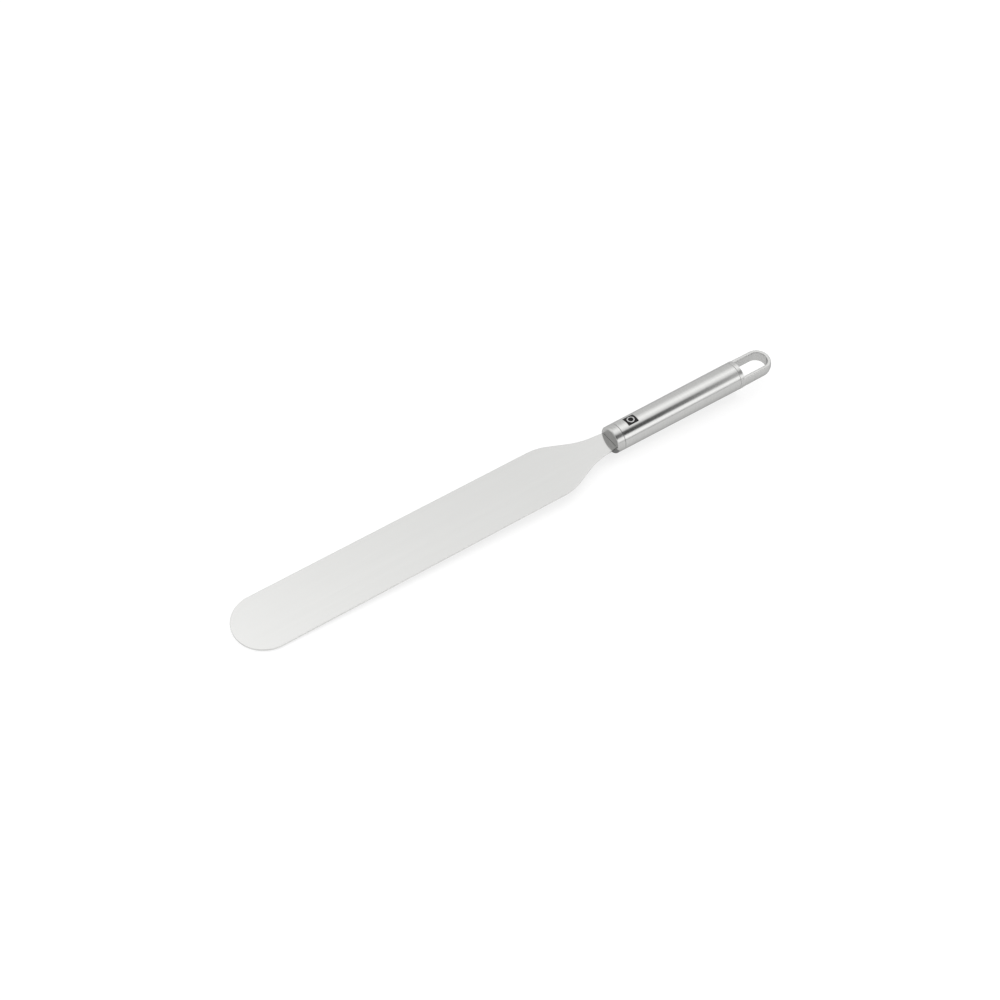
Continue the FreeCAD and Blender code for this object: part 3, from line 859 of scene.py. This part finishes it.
@dataclass
class Badge:
    """Small dark enamel plate with rounded corners and a plain ring on it."""

    corner: float = 0.35 * MM
    corner_steps: int = 6
    edge_round: float = 0.05 * MM
    rim_profile: Sequence[tuple[float, float]] = ((2.0, 0.0), (1.0, 0.15), (0.0, 1.0), (0.0, 5.0))
    ring_radius: float = 2.15 * MM
    ring_width: float = 0.75 * MM
    ring_rise: float = 0.02 * MM
    ring_steps: int = 96
    ring_profile: Sequence[tuple[float, float]] = (
        (-0.5, -1.0), (-0.5, 0.4), (-0.4, 1.0), (0.4, 1.0), (0.5, 0.4), (0.5, -1.0))
    steps: int = 20
    enamel: EnamelFinish = EnamelFinish("badge_black", 0.006, 0.16)
    inlay: EnamelFinish = EnamelFinish("badge_pale", 0.50, 0.35)
    radius: float = field(init=False)
    along: float = field(init=False)
    turn: float = field(init=False)
    half_length: float = field(init=False)
    half_width: float = field(init=False)

    def __post_init__(self) -> None:
        """Takes the plate's place and size from its node."""
        low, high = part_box("badge_plate")
        self.radius = high.z - handle_axis_height()
        left, right = (math.asin(side / self.radius) for side in (low.y, high.y))
        self.along = (low.x + high.x) / 2
        self.turn = (left + right) / 2
        self.half_length = (high.x - low.x) / 2
        self.half_width = (right - left) * self.radius / 2

    def wrap(self, built: bmesh.types.BMesh) -> None:
        """Wraps a flat shape round the handle.

        Args:
            built: shape with X along the handle, Y round it and Z as the radius.
        """
        for vertex in built.verts:
            place = vertex.co.copy()
            angle = self.turn + place.y / self.radius
            vertex.co = (self.along + place.x, place.z * math.sin(angle),
                         handle_axis_height() + place.z * math.cos(angle))

    def rim(self, inset: float) -> list[tuple[float, float]]:
        """Walks once round the plate.

        Args:
            inset: how far inside the plate's outline.

        Returns:
            Points along and round the handle, with extra ones on the curved sides.
        """
        reach = self.corner - inset
        ahead = self.half_length - self.corner
        across = self.half_width - self.corner
        points = []
        for order, (side_x, side_y) in enumerate(((1, 1), (-1, 1), (-1, -1), (1, -1))):
            for step in range(self.corner_steps + 1):
                angle = math.pi / 2 * (order + step / self.corner_steps)
                points.append((side_x * ahead + reach * math.cos(angle),
                               side_y * across + reach * math.sin(angle)))
            if side_x != side_y:
                x, y = points[-1]
                points += [(x, y - side_y * 2 * across * k / self.steps) for k in range(1, self.steps)]
        return points

    def plate(self) -> bmesh.types.BMesh:
        """Builds the plate.

        Returns:
            The flat plate as a closed mesh.
        """
        built = bmesh.new()
        rings = []
        for inset, drop in self.rim_profile:
            level = self.radius - drop * self.edge_round
            rings.append([built.verts.new((x, y, level)) for x, y in self.rim(inset * self.edge_round)])
        count = len(rings[0])
        for first, second in zip(rings, rings[1:]):
            for index in range(count):
                after = (index + 1) % count
                built.faces.new((first[index], first[after], second[after], second[index]))
        for rim in (rings[0], rings[-1]):
            self.fill_rows(built, rim)
        return built

    def fill_rows(self, built: bmesh.types.BMesh, rim: list[bmesh.types.BMVert]) -> None:
        """Fills a rim with rows across, so that it can follow the handle's curve.

        Args:
            built: the plate's mesh.
            rim: vertices of the rim.
        """
        rows: list[list[bmesh.types.BMVert]] = []
        for vertex in sorted(rim, key=lambda v: (round(v.co.y, 9), v.co.x)):
            if rows and abs(rows[-1][0].co.y - vertex.co.y) < SAME_ROW:
                rows[-1].append(vertex)
            else:
                rows.append([vertex])
        for lower, upper in zip(rows, rows[1:]):
            corners = list(dict.fromkeys((lower[0], lower[-1], upper[-1], upper[0])))
            if len(corners) > 2:
                built.faces.new(corners)

    def ring(self) -> bmesh.types.BMesh:
        """Builds the ring.

        Returns:
            The flat ring as a closed mesh.
        """
        built = bmesh.new()
        loops = []
        for step in range(self.ring_steps):
            angle = 2 * math.pi * step / self.ring_steps
            loops.append([built.verts.new((
                (self.ring_radius + offset * self.ring_width) * math.cos(angle),
                (self.ring_radius + offset * self.ring_width) * math.sin(angle),
                self.radius + lift * self.ring_rise)) for offset, lift in self.ring_profile])
        for index, loop in enumerate(loops):
            after = loops[(index + 1) % len(loops)]
            for k in range(len(loop)):
                j = (k + 1) % len(loop)
                built.faces.new((loop[k], loop[j], after[j], after[k]))
        return built

    def fit(self, built: bmesh.types.BMesh, name: str, smooth: bool, finish: EnamelFinish,
            replaced: Sequence[str]) -> None:
        """Wraps a flat shape round the handle and puts it in the scene.

        Args:
            built: the flat shape.
            name: name of the piece.
            smooth: whether it is shaded smoothly.
            finish: its finish.
            replaced: nodes that it stands for.
        """
        bmesh.ops.recalc_face_normals(built, faces=built.faces)
        self.wrap(built)
        mesh = bpy.data.meshes.new(name)
        built.to_mesh(mesh)
        built.free()
        mesh.polygons.foreach_set("use_smooth", [smooth] * len(mesh.polygons))
        place_piece(mesh_object(name, mesh, finish.material()), replaced)

    def build(self) -> None:
        """Builds the plate and its ring."""
        self.fit(self.plate(), "badge_enamel_plate", True, self.enamel, ["badge_plate"])
        self.fit(self.ring(), "badge_ring", False, self.inlay, [])


@dataclass(frozen=True)
class Band:
    """Brightness of the surrounding light at one angle round the handle, or at one lean along it."""

    angle: float
    level: float


@dataclass
class Studio:
    """Floor, surrounding light and camera.

    The light's bands are angles in degrees round the handle, from straight up towards +Y. They lean
    by the slant behind slant_start, and the gap is the unlit space between two long lamps. The
    lengthwise stops and the fades are directions along X, from -1 to 1. Levels are told as shares
    of sky_top, because a ramp holds no more than 1.
    """

    floor_size: float = 40.0
    floor_tone: float = 0.35
    floor_glow: float = 0.70
    floor_roughness: float = 0.9
    floor_shine: float = 0.1
    floor_gap: float = 0.02 * MM
    sky_top: float = 2.4
    bands: Sequence[Band] = (
        Band(-180, 1.0), Band(-90, 0.70), Band(-86, 0.78), Band(-79, 1.55), Band(-70, 1.86),
        Band(-60, 1.68), Band(-52, 1.35), Band(-30, 1.10), Band(-12, 1.2), Band(0, 1.50),
        Band(12, 1.74), Band(22, 1.62), Band(34, 1.34), Band(46, 1.06), Band(62, 1.0),
        Band(90, 1.07), Band(180, 1.0))
    lengthwise: Sequence[Band] = (
        Band(-1.0, 0.78), Band(-0.35, 0.80), Band(-0.1, 0.88), Band(0.12, 1.10), Band(0.30, 1.01),
        Band(0.415, 1.0), Band(0.43, 1.06), Band(0.442, 1.05), Band(0.455, 1.0), Band(0.52, 1.02),
        Band(1.0, 1.0))
    slant: float = 42.0
    slant_start: float = 0.40
    slant_span: tuple[float, float] = (0.0, 20.0)
    gap_depth: float = 0.97
    gap_upper: tuple[float, float] = (-10.0, -27.0)
    gap_lower: tuple[float, float] = (-56.0, -45.0)
    gap_fade: tuple[float, float] = (0.45, 0.66)
    gap_start: tuple[float, float] = (-0.85, -0.55)
    even_from: tuple[float, float] = (0.90, 0.985)
    even_level: float = 1.0
    camera_from_face: Vector = field(default_factory=lambda: Vector((-0.4940, -0.5552, 0.8493)))
    camera_axes: tuple[Vector, Vector, Vector] = field(default_factory=lambda: (
        Vector((0.82131341, -0.56999198, 0.02352516)),
        Vector((0.43084392, 0.64678578, 0.62931842)),
        Vector((-0.37392219, -0.50673198, 0.77679141))))
    lens: float = 64.26
    film_width: float = 36.0

    def rest_slope(self) -> tuple[Vector, float]:
        """Finds the surface that the tool lies on: under the blade's tip and the front cap's rim.

        Returns:
            A point on the surface and its slope along X.
        """
        tip_low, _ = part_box("blade")
        cap_low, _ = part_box("front_cap")
        rim = Vector((cap_low.x, 0.0, cap_low.z))
        tip = Vector((tip_low.x, 0.0, tip_low.z))
        return rim, math.atan2(tip.z - rim.z, rim.x - tip.x)

    def build_floor(self) -> None:
        """Lays the pale floor."""
        place, slope = self.rest_slope()
        built = bmesh.new()
        bmesh.ops.create_grid(built, x_segments=1, y_segments=1, size=self.floor_size / 2)
        mesh = bpy.data.meshes.new("floor")
        built.to_mesh(mesh)
        built.free()
        made, _, shader = start_material("floor_white")
        shader.inputs["Base Color"].default_value = (*[self.floor_tone] * 3, 1.0)
        shader.inputs["Roughness"].default_value = self.floor_roughness
        shader.inputs["Specular IOR Level"].default_value = self.floor_shine
        shader.inputs["Emission Color"].default_value = (1.0, 1.0, 1.0, 1.0)
        shader.inputs["Emission Strength"].default_value = self.floor_glow
        floor = mesh_object("floor", mesh, made)
        floor.rotation_euler = (0.0, slope, 0.0)
        floor.location = place - Vector((0.0, 0.0, self.floor_gap))

    def ramp(self, sheet: NodeSheet, value: bpy.types.NodeSocket, low: float, high: float,
             stops: Sequence[Band]) -> bpy.types.NodeSocket:
        """Reads a level from a row of stops.

        Args:
            sheet: node sheet of the light.
            value: what is looked up.
            low: value at the start of the row.
            high: value at its end.
            stops: the stops in order.

        Returns:
            The level's socket, as a share of the brightest one.
        """
        turn = sheet.math("DIVIDE", sheet.math("SUBTRACT", value, low), high - low)
        node = sheet.add("ShaderNodeValToRGB")
        sheet.join(turn, node.inputs[0])
        node.color_ramp.interpolation = "EASE"
        elements = node.color_ramp.elements
        elements.remove(elements[-1])
        for order, stop in enumerate(stops):
            place = (stop.angle - low) / (high - low)
            element = elements[0] if order == 0 else elements.new(place)
            element.position = place
            element.color = (*[stop.level / self.sky_top] * 3, 1.0)
        return node.outputs[0]

    def build_light(self) -> None:
        """Surrounds the scene with soft light in bands along the handle, with a dim gap between two."""
        world = bpy.data.worlds.new("studio")
        bpy.context.scene.world = world
        world.use_nodes = True
        sheet = NodeSheet(world.node_tree)
        background = sheet.add("ShaderNodeBackground")
        output = sheet.add("ShaderNodeOutputWorld")
        sheet.join(background.outputs[0], output.inputs["Surface"])
        direction = sheet.add("ShaderNodeTexCoord").outputs["Generated"]
        split = sheet.add("ShaderNodeSeparateXYZ")
        sheet.join(direction, split.inputs[0])
        x, y, z = split.outputs
        around = sheet.math("DEGREES", sheet.math("ARCTAN2", y, z))
        beyond = sheet.math("MINIMUM", sheet.math("SUBTRACT", x, self.slant_start), 0.0)
        overhead = sheet.span(around, *self.slant_span, 0.0, self.slant)
        leaning = sheet.math("ADD", around, sheet.math("MULTIPLY", beyond, overhead))
        bands = self.ramp(sheet, leaning, -HALF_TURN, HALF_TURN, self.bands)
        even = sheet.span(sheet.math("ABSOLUTE", x), *self.even_from, 0.0, 1.0)
        shift = sheet.math("MULTIPLY", even, sheet.math("SUBTRACT", self.even_level / self.sky_top, bands))
        bands = sheet.math("ADD", bands, shift)
        lengthwise = self.ramp(sheet, x, -1.0, 1.0, self.lengthwise)
        gap = sheet.math("MULTIPLY", sheet.span(around, *self.gap_lower, 0.0, 1.0),
                         sheet.span(around, self.gap_upper[1], self.gap_upper[0], 1.0, 0.0))
        gap = sheet.math("MULTIPLY", gap, sheet.span(x, *self.gap_fade, self.gap_depth, 0.0))
        gap = sheet.math("MULTIPLY", gap, sheet.span(x, *self.gap_start, 0.0, 1.0))
        level = sheet.math("MULTIPLY", bands, lengthwise)
        level = sheet.math("MULTIPLY", level, sheet.math("SUBTRACT", 1.0, gap))
        sheet.join(sheet.math("MULTIPLY", level, self.sky_top ** 2), background.inputs["Strength"])
        background.inputs["Color"].default_value = (1.0, 1.0, 1.0, 1.0)

    def build_camera(self) -> None:
        """Sets the camera, with its right, up and backward directions."""
        optics = bpy.data.cameras.new("camera")
        optics.lens = self.lens
        optics.sensor_width = self.film_width
        camera = bpy.data.objects.new("camera", optics)
        bpy.context.scene.collection.objects.link(camera)
        camera.location = face_place() + self.camera_from_face
        camera.rotation_euler = Matrix(self.camera_axes).transposed().to_euler()
        bpy.context.scene.camera = camera

    def build(self) -> None:
        """Builds the floor, the light and the camera."""
        self.build_floor()
        self.build_light()
        self.build_camera()


def main() -> None:
    """Builds the tool piece by piece, then the studio."""
    logging.basicConfig(level=logging.INFO)
    bpy.context.scene.view_settings.view_transform = "Standard"
    Blade().build()
    HandleTube().build()
    SeamBeads().build()
    EndPieces().build()
    Badge().build()
    Studio().build()


if __name__ == "__main__":
    main()
